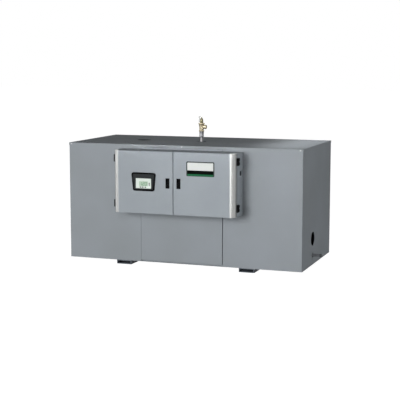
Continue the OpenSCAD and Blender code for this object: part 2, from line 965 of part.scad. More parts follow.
// The surround's outline: wider at its top, with round corners.
module bezel_outline() {
  r = bezel_corner_r;
  top = bezel_top_w/2;
  foot = bezel_foot_w/2;
  half = bezel_h/2;
  hull() {
    for (sx = [-1, 1]) {
      translate([sx*(top - r), half - r]) circle(r = r, $fn = 32);
      translate([sx*(foot - r), r - half]) circle(r = r, $fn = 32);
    }
  }
}

module display_bezel() {
  color(dark) placed() difference() {
    on_door(display_x, display_z, bezel_proud, bezel_proud) bezel_outline();
    on_door(display_x, display_z, bezel_proud + eps, bezel_proud + 2*eps) {
      translate([0, -screen_drop]) square([screen_w + 2*fit, screen_h + 2*fit], center = true);
    }
  }
}

module display_glass() {
  color("#cfe0d2") placed() {
    on_door(display_x, display_z, bezel_proud - 2, bezel_proud - 2) {
      translate([0, -screen_drop]) square([screen_w, screen_h], center = true);
    }
  }
}

module display_case() {
  case_depth = 24;
  color(dark) placed() {
    on_door(display_x, display_z, 0, case_depth) {
      translate([0, -screen_drop]) square([case_w, case_h], center = true);
    }
  }
}

module nameplate() {
  color("white") placed() {
    on_door(box_shift + nameplate_out, box_z + nameplate_rise, 1.5, 1.5) {
      round_rect(nameplate_w, nameplate_h, nameplate_corner_r);
    }
  }
}

skid_left();
skid_right();
base_pan();
saddle_left();
saddle_right();
tank_shell();
tank_head_left();
tank_head_right();
outlet_spud();
inlet_spud();
drain_pipe();
drain_grommet();
drain_cap();
relief_spud();
relief_pipe();
relief_coupling();
relief_body();
relief_bonnet();
relief_lever();
front_sheet_left();
front_sheet_right();
access_panel();
end_sheet_left();
end_sheet_right();
back_sheet_left();
back_sheet_right();
back_panel();
roof();
control_box();
mounting_plate();
contactors();
fuse_blocks();
terminal_strip();
control_transformer();
door_left();
door_right();
edge_strip_left();
edge_strip_right();
box_hinges_left();
box_hinges_right();
door_hinges_left();
door_hinges_right();
latch_left();
latch_right();
display_bezel();
display_glass();
display_case();
nameplate();
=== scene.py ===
import math
import bmesh
import bpy
import numpy as np
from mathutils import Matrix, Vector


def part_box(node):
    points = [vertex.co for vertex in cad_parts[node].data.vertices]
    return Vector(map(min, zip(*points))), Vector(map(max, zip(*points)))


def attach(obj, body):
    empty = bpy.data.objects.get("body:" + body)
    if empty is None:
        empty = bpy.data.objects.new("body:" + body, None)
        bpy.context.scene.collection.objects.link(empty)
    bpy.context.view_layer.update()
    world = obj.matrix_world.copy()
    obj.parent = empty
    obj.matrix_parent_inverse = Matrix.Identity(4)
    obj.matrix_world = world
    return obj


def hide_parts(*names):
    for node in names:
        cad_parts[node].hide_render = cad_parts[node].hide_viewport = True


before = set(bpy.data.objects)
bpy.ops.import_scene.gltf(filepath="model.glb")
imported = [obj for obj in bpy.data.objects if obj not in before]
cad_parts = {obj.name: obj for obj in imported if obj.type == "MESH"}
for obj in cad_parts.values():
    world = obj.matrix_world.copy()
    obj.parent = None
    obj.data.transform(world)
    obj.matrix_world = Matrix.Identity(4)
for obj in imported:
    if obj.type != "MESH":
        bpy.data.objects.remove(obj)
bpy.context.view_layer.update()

# places that the rest is measured from, all from the frame, in metres
roofLow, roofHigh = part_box("roof")
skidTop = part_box("skid_left")[1].z
doorLeftLow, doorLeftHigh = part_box("door_left")
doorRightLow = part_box("door_right")[0]
boxLow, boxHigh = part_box("control_box")
jacketX = (roofLow.x + roofHigh.x) / 2
jacketFront = roofLow.y
doorFace = doorLeftLow.y
gapX = (doorLeftHigh.x + doorRightLow.x) / 2

# each side's right and up, as it is seen from outside; its normal is right x up
front = (np.array([1.0, 0, 0]), np.array([0, 0, 1.0]))
back = (np.array([-1.0, 0, 0]), np.array([0, 0, 1.0]))
rightEnd = (np.array([0, 1.0, 0]), np.array([0, 0, 1.0]))
leftEnd = (np.array([0, -1.0, 0]), np.array([0, 0, 1.0]))
top = (np.array([1.0, 0, 0]), np.array([0, 1.0, 0]))


def circleLoop(radius, steps=24):
    # radius times (cos a, sin a), counter-clockwise
    a = np.linspace(0, 2 * np.pi, steps, endpoint=False)
    return radius * np.c_[np.cos(a), np.sin(a)]


def roundLoop(width, height, radius, steps=4):
    # each corner's arc is its own centre plus radius times (cos a, sin a)
    radius = max(radius, 2e-5)
    a = (np.linspace(0, np.pi / 2, steps) + np.arange(4)[:, None] * np.pi / 2).ravel()
    corner = np.repeat([[1, 1], [-1, 1], [-1, -1], [1, -1]], steps, axis=0)
    return corner * [width / 2 - radius, height / 2 - radius] + radius * np.c_[np.cos(a), np.sin(a)]


def taperLoop(topWidth, footWidth, height, radius, steps=7):
    # as roundLoop, with the two lower corners' centres nearer to the middle
    loop = roundLoop(topWidth, height, radius, steps)
    loop[2 * steps:, 0] -= np.sign(loop[2 * steps:, 0]) * (topWidth - footWidth) / 2
    return loop


def hexLoop(across, steps=24):
    # radius over angle: half the width across flats over the cosine from the nearest flat
    a = np.linspace(0, 2 * np.pi, steps, endpoint=False)
    off = (a + np.pi / 6) % (np.pi / 3) - np.pi / 6
    return (across / 2 / np.cos(off))[:, None] * np.c_[np.cos(a), np.sin(a)]


def rings(loops, rises):
    # flat loops of as many points each, every one at its own height
    return np.array([np.c_[loop, np.full(len(loop), rise)] for loop, rise in zip(loops, rises)])


def carry(outline, profile):
    # ring i is the outline pulled in by the profile's inset i, lifted by its rise i
    return rings([outline(inset) for inset, rise in profile], [rise for inset, rise in profile])


def turned(profile, steps=40, ribs=0, ribRise=0.0):
    # (radius, height) turned about the third axis; ribs add a rise times the fourth power of a cosine
    a = np.linspace(0, 2 * np.pi, steps, endpoint=False)
    profile = np.asarray(profile, float)
    r = profile[:, :1] + ribRise * np.maximum(np.cos(ribs * a), 0) ** 4 * (ribs > 0)
    return np.stack([r * np.cos(a), r * np.sin(a), np.broadcast_to(profile[:, 1:], r.shape)], axis=2)


def smoothProfile(points, steps=5):
    # Catmull-Rom: each span blends its two ends and their neighbours by cubic weights of t
    p = np.asarray(points, float)
    p = np.vstack([2 * p[0] - p[1], p, 2 * p[-1] - p[-2]])
    t = np.linspace(0, 1, steps, endpoint=False)[:, None, None]
    a, b, c, d = p[:-3], p[1:-2], p[2:-1], p[3:]
    bend = (2 * a - 5 * b + 4 * c - d) * t ** 2 + (3 * b - a - 3 * c + d) * t ** 3
    curve = 0.5 * (2 * b + (c - a) * t + bend)
    return np.vstack([curve.transpose(1, 0, 2).reshape(-1, 2), p[-2]])


def threadGrid(radius, depth, pitch, length, steps=40, rows=6):
    # radius plus depth times a triangle wave of (height over pitch less turn): one helix
    a = np.linspace(0, 2 * np.pi, steps, endpoint=False)[None, :]
    z = np.linspace(0, length, int(length / pitch * rows) + 1)[:, None]
    wave = np.abs(((z / pitch - a / (2 * np.pi)) % 1) * 2 - 1)
    edge = np.clip(np.minimum(z, length - z) / pitch, 0, 1)
    r = radius + depth * wave * edge
    return np.stack([r * np.cos(a), r * np.sin(a), np.broadcast_to(z, r.shape)], axis=2)


def swept(path, section):
    # a flat path in the first and third axes: the section's first number lies along
    # the path's normal and its second along the second axis
    path = np.asarray(path, float)
    run = np.gradient(path, axis=0)
    run /= np.linalg.norm(run, axis=1)[:, None]
    flat = path[:, None, :] + section[None, :, :1] * np.c_[-run[:, 1], run[:, 0]][:, None, :]
    sideways = np.broadcast_to(section[None, :, 1], flat.shape[:2])
    return np.stack([flat[..., 0], sideways, flat[..., 1]], axis=2)


def placed(points, origin, side):
    # origin plus each number times its own direction of the side
    right, up = side
    across = points[..., :1] * right + points[..., 1:2] * up
    return np.asarray(origin) + across + points[..., 2:] * np.cross(right, up)


def block(width, height, low, high, radius=0.001, edge=0.0006):
    # a slab from low to high with round corners and a softened outer edge
    return carry(lambda inset: roundLoop(width - 2 * inset, height - 2 * inset, radius, 3),
                 [(0, low), (0, high - edge), (edge * 0.3, high - edge * 0.3), (edge, high)])


def moved(points, x, z, rise=0.0):
    return points + np.array([x, z, rise])


def makePiece(name, parts, material, body, hides=(), sharp=38):
    # a part is a grid of rings closed round, capped at both ends; in a tuple it is closed both ways
    points, faces, start = [], [], 0
    for part in parts:
        closed = isinstance(part, tuple)
        grid = part[0] if closed else part
        rows, columns = grid.shape[:2]
        i, j = np.meshgrid(np.arange(rows if closed else rows - 1), np.arange(columns), indexing="ij")
        right, above = (j + 1) % columns, (i + 1) % rows
        quads = [i * columns + j, i * columns + right, above * columns + right, above * columns + j]
        faces += (np.stack(quads, -1).reshape(-1, 4) + start).tolist()
        if not closed:
            faces.append((start + np.arange(columns)[::-1]).tolist())
            faces.append((start + (rows - 1) * columns + np.arange(columns)).tolist())
        points.append(grid.reshape(-1, 3))
        start += rows * columns
    mesh = bpy.data.meshes.new(name)
    mesh.from_pydata(np.concatenate(points).tolist(), [], faces)
    shell = bmesh.new()  # every closed part's faces are turned outwards
    shell.from_mesh(mesh)
    bmesh.ops.recalc_face_normals(shell, faces=shell.faces)
    shell.to_mesh(mesh)
    shell.free()
    mesh.shade_smooth()
    mesh.set_sharp_from_angle(angle=math.radians(sharp))
    mesh.materials.append(material)
    piece = bpy.data.objects.new(name, mesh)
    bpy.context.scene.collection.objects.link(piece)
    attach(piece, body)
    if hides:
        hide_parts(*hides)


def linear(colour):
    # an sRGB hex colour, each channel turned linear
    channels = [int(colour[k:k + 2], 16) / 255 for k in (1, 3, 5)]
    return tuple(c / 12.92 if c <= 0.04045 else ((c + 0.055) / 1.055) ** 2.4 for c in channels) + (1.0,)


def perMetre(millimetres):
    # a pattern's scale from the real size of one repeat
    return 1000 / millimetres


def add(tree, kind, sockets=None, **settings):
    # adds a node: settings are its own choices, sockets are its inputs, each a value or a link
    item = tree.nodes.new("ShaderNode" + kind)
    for key, value in settings.items():
        setattr(item, key, value)
    for key, value in (sockets or {}).items():
        if isinstance(value, bpy.types.NodeSocket):
            tree.links.new(value, item.inputs[key])
        else:
            item.inputs[key].default_value = value
    return item


def startMaterial(name):
    material = bpy.data.materials.new(name)
    material.use_nodes = True
    tree = material.node_tree
    tree.nodes.clear()
    return material, tree, add(tree, "TexCoord").outputs["Object"]


def blendColours(tree, amount, first, second):
    # a ramp from the first colour to the second as the amount goes from 0 to 1
    ramp = add(tree, "ValToRGB", {"Fac": amount})
    ramp.color_ramp.elements[0].color = linear(first)
    ramp.color_ramp.elements[1].color = linear(second)
    return ramp.outputs["Color"]


def spread(tree, value, fromLow, fromHigh, low, high):
    return add(tree, "MapRange", {"Value": value, "From Min": fromLow, "From Max": fromHigh,
                                  "To Min": low, "To Max": high}).outputs["Result"]


def noise(tree, where, repeatMm, detail=3.0):
    scale = perMetre(repeatMm)
    return add(tree, "TexNoise", {"Vector": where, "Scale": scale, "Detail": detail}).outputs["Fac"]


def spreadNoise(tree, value, low, high):
    # a noise's values lie mostly between 0.3 and 0.7
    return spread(tree, value, 0.3, 0.7, low, high)


def finishMaterial(tree, sockets, height=None, depth=0.0):
    # depth is how high the pattern stands, in metres
    if height is not None:
        bump = add(tree, "Bump", {"Height": height, "Strength": 1.0, "Distance": depth})
        sockets["Normal"] = bump.outputs["Normal"]
    shader = add(tree, "BsdfPrincipled", sockets)
    add(tree, "OutputMaterial", {"Surface": shader.outputs["BSDF"]})


def powderCoat(name, look):
    # polyester powder coat, sprayed dry and baked on sheet steel: an even tone, a fine orange
    # peel, and sheets that are never quite flat
    material, tree, where = startMaterial(name)
    tone = noise(tree, where, look["toneMm"])
    peel = noise(tree, where, look["peelMm"])
    wave = noise(tree, where, look["waveMm"], 1.0)
    high = add(tree, "Math", {0: wave, 1: look["waveShare"], 2: peel}, operation="MULTIPLY_ADD").outputs[0]
    share = spreadNoise(tree, tone, 0.0, 1.0)
    finishMaterial(tree, {
        "Base Color": blendColours(tree, share, look["dark"], look["light"]),
        "Roughness": spreadNoise(tree, peel, look["rough"] - 0.04, look["rough"] + 0.04),
        "Specular IOR Level": look["specular"], "IOR": 1.5}, high, look["peelDepth"])
    return material


def castOrDrawn(name, look):
    # a metal or moulded surface with one grain, the same along all axes or one size for each,
    # which makes it cast, drawn or brushed; without a metallic value it is a paint or a plastic
    metallic = look.get("metallic", 0.0)
    material, tree, where = startMaterial(name)
    scale = perMetre(np.broadcast_to(look["grainMm"], 3)).tolist()
    grainWhere = add(tree, "Mapping", {"Vector": where, "Scale": scale}).outputs["Vector"]
    grain = add(tree, "TexNoise", {"Vector": grainWhere, "Scale": 1.0, "Detail": 3.0, "Roughness": 0.6})
    grain = grain.outputs["Fac"]
    tone = noise(tree, where, look["toneMm"], 4.0)
    both = add(tree, "Math", {0: grain, 1: 0.35, 2: tone}, operation="MULTIPLY_ADD").outputs[0]
    share = spread(tree, both, 0.45, 0.95, 0.0, 1.0)
    sockets = {
        "Base Color": blendColours(tree, share, look["dark"], look["light"]),
        "Metallic": metallic,
        "Roughness": spreadNoise(tree, grain, look["smooth"], look["rough"])}
    if metallic < 0.5:
        sockets["Specular IOR Level"] = look["specular"]
        sockets["IOR"] = 1.5
    finishMaterial(tree, sockets, grain, look["depth"])
    return material


# polyester powder coat in satin grey: the jacket's, and the box's and doors' a shade lighter
jacketPaint = powderCoat("satinPowderCoatJacket", {
    "dark": "#8A8F92", "light": "#90959A", "toneMm": 420, "peelMm": 3.2, "waveMm": 260, "waveShare": 3.0,
    "peelDepth": 0.00004, "rough": 0.75, "specular": 0.05})
boxPaint = powderCoat("satinPowderCoatBox", {
    "dark": "#91979C", "light": "#979DA2", "toneMm": 380, "peelMm": 3.2, "waveMm": 240, "waveShare": 2.0,
    "peelDepth": 0.00004, "rough": 0.75, "specular": 0.05})
# dark grey alkyd enamel brushed on hot-rolled steel: a dull skin over mill scale
enamelOnSteel = castOrDrawn("greyEnamelOnSteel", {
    "dark": "#545A61", "light": "#676E75", "smooth": 0.5, "rough": 0.68, "specular": 0.12,
    "toneMm": 60, "grainMm": 4, "depth": 0.0002})
# black malleable iron and welded spuds: oxide skin, coarse as cast
castIron = castOrDrawn("blackMalleableIron", {
    "dark": "#0E0F10", "light": "#1F2022", "metallic": 0.3, "smooth": 0.5, "rough": 0.7, "specular": 0.12,
    "toneMm": 25, "grainMm": 2, "depth": 0.0003})
# rolled carbon steel tank with mill scale
millScale = castOrDrawn("rolledSteelMillScale", {
    "dark": "#1B1D20", "light": "#2A2E32", "metallic": 0.4, "smooth": 0.5, "rough": 0.7, "specular": 0.12,
    "toneMm": 140, "grainMm": (300, 12, 12), "depth": 0.0002})
# hot-dip galvanised pipe: grey zinc with a spangle, drawn coarser than its 5 mm so that it shows
zincDipped = castOrDrawn("hotDipGalvanisedPipe", {
    "dark": "#75767A", "light": "#A2A1A2", "metallic": 0.85, "smooth": 0.34, "rough": 0.5,
    "toneMm": 14, "grainMm": 9, "depth": 0.0001})
# steel drain pipe under grey primer
primedPipe = castOrDrawn("primedSteelPipe", {
    "dark": "#84868A", "light": "#94969A", "smooth": 0.5, "rough": 0.65, "specular": 0.1,
    "toneMm": 18, "grainMm": (60, 2, 2), "depth": 0.0001})
# zinc-plated and passivated steel: a bright film over fine scratches
zincPlated = castOrDrawn("zincPlatedSteel", {
    "dark": "#A9AAA5", "light": "#C9CAC5", "metallic": 1.0, "smooth": 0.3, "rough": 0.38,
    "toneMm": 12, "grainMm": 1.5, "depth": 0.00005})
# galvanised sheet of the mounting plate, its spangle 16 mm wide
galvanisedSheet = castOrDrawn("galvanisedSheet", {
    "dark": "#979A9D", "light": "#ADB0B3", "metallic": 0.9, "smooth": 0.4, "rough": 0.52,
    "toneMm": 22, "grainMm": 16, "depth": 0.00005})
# sheet-metal screws under a zinc flake coating: pale and dull
zincFlake = castOrDrawn("zincFlakeCoatedScrew", {
    "dark": "#BDC0C2", "light": "#CCCFD1", "smooth": 0.5, "rough": 0.62, "specular": 0.2,
    "toneMm": 12, "grainMm": 1, "depth": 0.00003})
# sand-cast bronze-toned brass, tumbled: pale, mottled, dulled in its hollows
castBrass = castOrDrawn("sandCastBrass", {
    "dark": "#94886E", "light": "#DAD0B6", "metallic": 0.9, "smooth": 0.26, "rough": 0.46,
    "toneMm": 11, "grainMm": 1.6, "depth": 0.00015})
# bronze bonnet, turned and left to dull: olive brown
dulledBronze = castOrDrawn("turnedBronze", {
    "dark": "#57523E", "light": "#858064", "metallic": 0.9, "smooth": 0.3, "rough": 0.44,
    "toneMm": 9, "grainMm": (20, 20, 0.8), "depth": 0.00003})
# extruded aluminium, satin anodised: fine die lines up its length
anodised = castOrDrawn("satinAnodisedAluminium", {
    "dark": "#959695", "light": "#A0A1A0", "metallic": 0.9, "smooth": 0.34, "rough": 0.42,
    "toneMm": 240, "grainMm": (1.6, 1.6, 900), "depth": 0.00002})
# black glass-filled nylon hinges and latches, moulded with a spark-eroded texture
mouldedNylon = castOrDrawn("mouldedBlackNylon", {
    "dark": "#040405", "light": "#0A0B0C", "smooth": 0.46, "rough": 0.58, "specular": 0.03,
    "toneMm": 30, "grainMm": 0.9, "depth": 0.00003})
# semi-gloss black ABS surround
mouldedAbs = castOrDrawn("mouldedBlackAbs", {
    "dark": "#060708", "light": "#0C0D0E", "smooth": 0.42, "rough": 0.52, "specular": 0.015,
    "toneMm": 40, "grainMm": 1.2, "depth": 0.00002})
# dark grey polyester overlay, printed on its back, with a fine velvet face
printedOverlay = castOrDrawn("printedPolyesterOverlay", {
    "dark": "#212425", "light": "#292C2D", "smooth": 0.42, "rough": 0.5, "specular": 0.06,
    "toneMm": 40, "grainMm": 0.8, "depth": 0.00001})
# black phenolic of contactors and fuse bases, pressed hot
phenolic = castOrDrawn("pressedPhenolic", {
    "dark": "#1B1C1E", "light": "#2A2B2D", "smooth": 0.35, "rough": 0.5, "specular": 0.25,
    "toneMm": 18, "grainMm": 1.2, "depth": 0.00005})
# cream thermoset of the terminal strip
creamThermoset = castOrDrawn("creamThermoset", {
    "dark": "#C4BCA5", "light": "#D6CFB9", "smooth": 0.35, "rough": 0.5, "specular": 0.3,
    "toneMm": 18, "grainMm": 1.2, "depth": 0.00004})
# stacked silicon-steel laminations, varnished: half-millimetre lines, drawn at two
laminated = castOrDrawn("varnishedLaminations", {
    "dark": "#2B2623", "light": "#57504A", "metallic": 0.5, "smooth": 0.35, "rough": 0.55,
    "toneMm": 30, "grainMm": (60, 2, 60), "depth": 0.0003})
# grey-primed malleable cap
primedIron = castOrDrawn("primedMalleableIron", {
    "dark": "#5E6164", "light": "#74777A", "smooth": 0.5, "rough": 0.65, "specular": 0.1,
    "toneMm": 18, "grainMm": 2, "depth": 0.0003})
# grey EPDM of the grommet
greyRubber = castOrDrawn("greyRubber", {
    "dark": "#66696B", "light": "#777A7C", "smooth": 0.6, "rough": 0.75, "specular": 0.1,
    "toneMm": 10, "grainMm": 1, "depth": 0.00005})
# EPDM rubber, moulded: dull with a faint bloom
mouldedRubber = castOrDrawn("mouldedRubber", {
    "dark": "#222324", "light": "#303132", "smooth": 0.6, "rough": 0.75, "specular": 0.15,
    "toneMm": 10, "grainMm": 1, "depth": 0.00005})
# copper winding under clear varnish: wire-wide lines
windingCopper = castOrDrawn("varnishedCopperWinding", {
    "dark": "#5E2A15", "light": "#A9623A", "metallic": 0.9, "smooth": 0.25, "rough": 0.4,
    "toneMm": 20, "grainMm": (80, 80, 1.4), "depth": 0.0003})
# glass-fibre fuse tube, off-white
fuseTube = castOrDrawn("glassMelamineTube", {
    "dark": "#BDB7A8", "light": "#D2CDC1", "smooth": 0.4, "rough": 0.55, "specular": 0.3,
    "toneMm": 14, "grainMm": 1.5, "depth": 0.00004})


def lcdGlass():
    # reflective liquid crystal behind an acrylic window: pale green, with the dot grid of its
    # polariser drawn at two millimetres so that it shows
    material, tree, where = startMaterial("reflectiveLcdGlass")
    dots = add(tree, "TexVoronoi", {"Vector": where, "Scale": perMetre(2.0)}).outputs["Distance"]
    cloud = noise(tree, where, 60, 2.0)
    amount = add(tree, "Math", {0: dots, 1: 0.3, 2: cloud}, operation="MULTIPLY_ADD").outputs[0]
    share = spread(tree, amount, 0.4, 0.9, 0.0, 1.0)
    finishMaterial(tree, {
        "Base Color": blendColours(tree, share, "#C6D0C8", "#D2DAD3"),
        "Roughness": 0.3, "IOR": 1.49, "Specular IOR Level": 0.3,
        "Coat Weight": 0.1, "Coat Roughness": 0.15}, dots, 0.00001)
    return material


def printedInk(name, first, second):
    # screen-printed ink, a few hundredths thick, with a slight mottle
    return castOrDrawn(name, {
        "dark": first, "light": second, "smooth": 0.34, "rough": 0.44, "specular": 0.12,
        "toneMm": 15, "grainMm": 1, "depth": 0.00001})


def printedPlate(plate):
    # aluminium plate, screen printed in three bands: white above, black, green below
    material, tree, where = startMaterial("screenPrintedPlate")
    height = add(tree, "SeparateXYZ", {"Vector": where}).outputs["Z"]
    share = spread(tree, height, plate["low"], plate["high"], 0.0, 1.0)
    ramp = add(tree, "ValToRGB", {"Fac": share})
    ramp.color_ramp.interpolation = "CONSTANT"
    elements = ramp.color_ramp.elements
    elements[0].color = linear(plate["green"])
    elements[1].position, elements[1].color = plate["blackFrom"], linear(plate["black"])
    elements.new(plate["whiteFrom"]).color = linear(plate["white"])
    ink = noise(tree, where, 6)
    finishMaterial(tree, {
        "Base Color": ramp.outputs["Color"], "Roughness": spreadNoise(tree, ink, 0.34, 0.44),
        "Specular IOR Level": 0.01, "IOR": 1.5}, ink, 0.00001)
    return material


nodeFinish = {
    jacketPaint: ["front_sheet_left", "front_sheet_right", "access_panel", "end_sheet_left",
                  "end_sheet_right", "back_sheet_left", "back_sheet_right", "back_panel", "roof", "base_pan"],
    boxPaint: ["control_box", "door_left", "door_right"],
    enamelOnSteel: ["skid_left", "skid_right", "saddle_left", "saddle_right"],
    millScale: ["tank_shell", "tank_head_left", "tank_head_right"],
    castIron: ["outlet_spud", "inlet_spud", "relief_spud"],
    primedIron: ["drain_cap"],
    primedPipe: ["drain_pipe"],
    greyRubber: ["drain_grommet"],
    zincDipped: ["relief_pipe", "relief_coupling"],
    castBrass: ["relief_body"],
    dulledBronze: ["relief_bonnet"],
    zincPlated: ["relief_lever"],
    galvanisedSheet: ["mounting_plate"],
    anodised: ["edge_strip_left", "edge_strip_right"],
    mouldedNylon: ["box_hinges_left", "box_hinges_right", "door_hinges_left", "door_hinges_right",
                   "latch_left", "latch_right", "display_case"],
    phenolic: ["contactors", "fuse_blocks"],
    creamThermoset: ["terminal_strip"],
    laminated: ["control_transformer"],
    mouldedAbs: ["display_bezel"],
    lcdGlass(): ["display_glass"],
    printedInk("darkPlateEdge", "#222A28", "#2B3431"): ["nameplate"],
}
for material, names in nodeFinish.items():
    for name in names:
        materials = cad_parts[name].data.materials
        materials.clear()
        materials.append(material)
print("frame nodes finished")


def slotLoop(length, width, steps=24):
    # radius over angle of a rectangle's edge: the nearer of its two pairs of sides
    a = np.linspace(0, 2 * np.pi, steps, endpoint=False) + 0.01
    r = np.minimum(length / 2 / np.abs(np.cos(a)), width / 2 / np.abs(np.sin(a)))
    return r[:, None] * np.c_[np.cos(a), np.sin(a)]


def screwHead(place, side, radius, rise, recess):
    # a round head in one skin: up its side, over its crown and down into its recess
    loops = [circleLoop(radius), circleLoop(radius), circleLoop(radius * 0.85), recess, recess]
    return placed(rings(loops, [-0.0002, rise * 0.6, rise, rise, rise * 0.4]), place, side)


def hexScrew(place, side, washer=0.0115, across=0.007, rise=0.0036):
    # a hexagon head with a round washer face, both chamfered
    foot = carry(lambda inset: circleLoop(washer / 2 - inset, 18),
                 [(0, -0.0002), (0, 0.0007), (0.0008, 0.0011)])
    head = carry(lambda inset: hexLoop(across - 2 * inset, 18), [(0, 0), (0, rise - 0.0006), (0.0007, rise)])
    return [placed(foot, place, side), placed(head, place, side)]


def rivet(place, side, radius=0.0034, rise=0.0011):
    # a shallow dome: its rise falls with the square of the distance from its middle
    share = np.linspace(0, 0.92, 6)
    dome = np.c_[radius * (1 - share), rise * (1 - (1 - share) ** 2)]
    return [placed(turned(np.vstack([[radius, -0.0002], dome]), 18), place, side)]


fixings = {"lipDown": 0.0085, "lipAcross": (-0.929, 0.0, 0.929), "rivetOut": 0.025,
           "rivetHeights": (0.476, 0.8286)}
screws = []
for across in fixings["lipAcross"]:
    screws += hexScrew((jacketX + across, jacketFront, roofHigh.z - fixings["lipDown"]), front)
    screws += hexScrew((jacketX + across, roofHigh.y, roofHigh.z - fixings["lipDown"]), back)
makePiece("roof_lip_screws", screws, zincFlake, "heater")

for sign, body in ((-1, "door_left"), (1, "door_right")):
    domes = []
    for height in fixings["rivetHeights"]:
        domes += rivet((gapX + sign * fixings["rivetOut"], doorFace, skidTop + height), front)
    makePiece(body + "_rivets", domes, boxPaint, body)

hinge = {"tall": 0.055, "lobe": 0.013, "leaf": 0.009, "knuckle": 0.006, "pinHead": 0.0042, "pinRise": 0.0014,
         "screw": 0.0045, "screwRise": 0.0018, "hexKey": 0.004}
for name, wall, sign, side in (("left", boxLow.x, -1, leftEnd), ("right", boxHigh.x, 1, rightEnd)):
    hingeLow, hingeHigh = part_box("box_hinges_" + name)
    pinX = (hingeLow.x if sign < 0 else hingeHigh.x) - sign * hinge["knuckle"]
    pinY = hingeLow.y + hinge["knuckle"]
    heads = []
    for low in (hingeLow.z, hingeHigh.z - hinge["tall"]):
        high = low + hinge["tall"]
        for lobe in (low + hinge["lobe"], high - hinge["lobe"]):
            place = (wall + sign * hinge["leaf"], hingeHigh.y - hinge["lobe"], lobe)
            heads.append(screwHead(place, side, hinge["screw"], hinge["screwRise"], hexLoop(hinge["hexKey"])))
        heads += rivet((pinX, pinY, high), top, hinge["pinHead"], hinge["pinRise"])
    makePiece("hinge_screws_" + name, heads, mouldedNylon, "heater")
print("screws and rivets made")

latch = {"rim": 0.004, "proud": 0.003, "well": 0.013, "corner": 0.003, "wellCorner": 0.002, "neck": 0.0023,
         "slack": 0.0004, "paddleShare": 0.62, "ribs": 5, "ribPitch": 0.0052, "ribTall": 0.0016}


def latchParts(low, high):
    # a frame in one closed skin round its finger well, the well's floor, a dished paddle and grip ribs
    width, height = high.x - low.x, high.z - low.z
    wellWide, wellHigh = width - 2 * latch["rim"], height - 2 * latch["rim"]
    paddleHigh = wellHigh * latch["paddleShare"]
    proud, well, slack = latch["proud"], latch["well"], latch["slack"]

    def outer(inset):
        return roundLoop(width - 2 * inset, height - 2 * inset, latch["corner"] - inset)

    def inner(inset):
        return roundLoop(wellWide + 2 * inset, wellHigh + 2 * inset, latch["wellCorner"] + inset)

    def dish(inset):
        corner = latch["wellCorner"] - inset * 0.2
        return roundLoop(wellWide - 2 * slack - 2 * inset, paddleHigh - 2 * inset, corner)

    neck = roundLoop(width - 2 * latch["neck"], height - 2 * latch["neck"], latch["wellCorner"])
    skin = [(outer(0), 0.0001), (outer(0), proud - 0.001), (outer(0.0003), proud - 0.0003),
            (outer(0.001), proud), (inner(0.0009), proud), (inner(0.0002), proud - 0.0003),
            (inner(0), proud - 0.001), (inner(0), -well), (neck, -well), (neck, 0.0001)]
    paddle = carry(dish, [(0, -well), (0, proud - 0.0018), (0.0004, proud - 0.001), (0.0014, proud - 0.0007),
                          (0.0035, proud - 0.0012), (0.006, proud - 0.0022), (0.009, proud - 0.0026)])
    middle = (paddleHigh - wellHigh) / 2
    floor = block(wellWide + slack, wellHigh + slack, -well - 0.004, -well + slack)
    rib = block(wellWide - 0.007, latch["ribTall"], proud - 0.0034, proud - 0.0006, 0.0006, 0.0005)
    ribs = [moved(rib, 0, middle + (k - (latch["ribs"] - 1) / 2) * latch["ribPitch"])
            for k in range(latch["ribs"])]
    return [(rings(*zip(*skin)),), floor, moved(paddle, 0, middle)] + ribs


for name, body in (("latch_left", "door_left"), ("latch_right", "door_right")):
    low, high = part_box(name)
    middle = ((low.x + high.x) / 2, doorFace, (low.z + high.z) / 2)
    parts = [(placed(part[0], middle, front),) if isinstance(part, tuple) else placed(part, middle, front)
             for part in latchParts(low, high)]
    makePiece(name + "_paddle", parts, mouldedNylon, body, hides=[name])
print("latches made")

display = {"topWidth": 0.195, "footWidth": 0.175, "height": 0.140, "corner": 0.017, "rim": 0.0110,
           "digit": 0.0135, "tall": 0.026, "bar": 0.0042, "pitch": 0.0205, "lean": 0.08,
           "field": (0.072, 0.036), "fieldPlace": (0.001, -0.0025),
           "arrows": (0.0025, -0.0125), "arrowX": 0.0475, "pads": (-0.025, -0.005, 0.016), "padZ": -0.0285}
bezelLow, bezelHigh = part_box("display_bezel")
glassLow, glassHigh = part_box("display_glass")
bezelMiddle = ((bezelLow.x + bezelHigh.x) / 2, doorFace, (bezelLow.z + bezelHigh.z) / 2)
glassMiddle = ((glassLow.x + glassHigh.x) / 2, doorFace, (glassLow.z + glassHigh.z) / 2)
bezelRise = doorFace - bezelLow.y
glassRise = doorFace - glassLow.y


def bezelLoop(inset):
    return taperLoop(display["topWidth"] - 2 * inset, display["footWidth"] - 2 * inset,
                     display["height"] - 2 * inset, display["corner"] - inset)


rim = [(0, 0), (0, bezelRise - 0.003), (0.0006, bezelRise - 0.0012), (0.002, bezelRise - 0.0002),
       (0.0035, bezelRise), (display["rim"] - 0.002, bezelRise), (display["rim"], bezelRise - 0.0014),
       (display["rim"] + 0.0004, 0.0004)]
makePiece("display_rim", [(placed(carry(bezelLoop, rim), bezelMiddle, front),)], mouldedAbs,
          "door_left", hides=["display_bezel"])

window = roundLoop(glassHigh.x - glassLow.x + 0.0006, glassHigh.z - glassLow.z + 0.0006, 0.0015, 7)
window += [0, glassMiddle[2] - bezelMiddle[2]]
outer = bezelLoop(display["rim"] + 0.0002)
overlay = rings([outer, outer, window, window], [0.0005, glassRise + 0.0006, glassRise + 0.0006, 0.0005])
makePiece("display_overlay", [(placed(overlay, bezelMiddle, front),)], printedOverlay,
          "door_left")


def flatMark(loop, x, z, rise=0.00015):
    # a printed mark: its outline lifted a fraction of a millimetre from the glass
    mark = rings([loop + [x, z]] * 2, [glassRise - 0.0003, glassRise + rise])
    return placed(mark, glassMiddle, front)


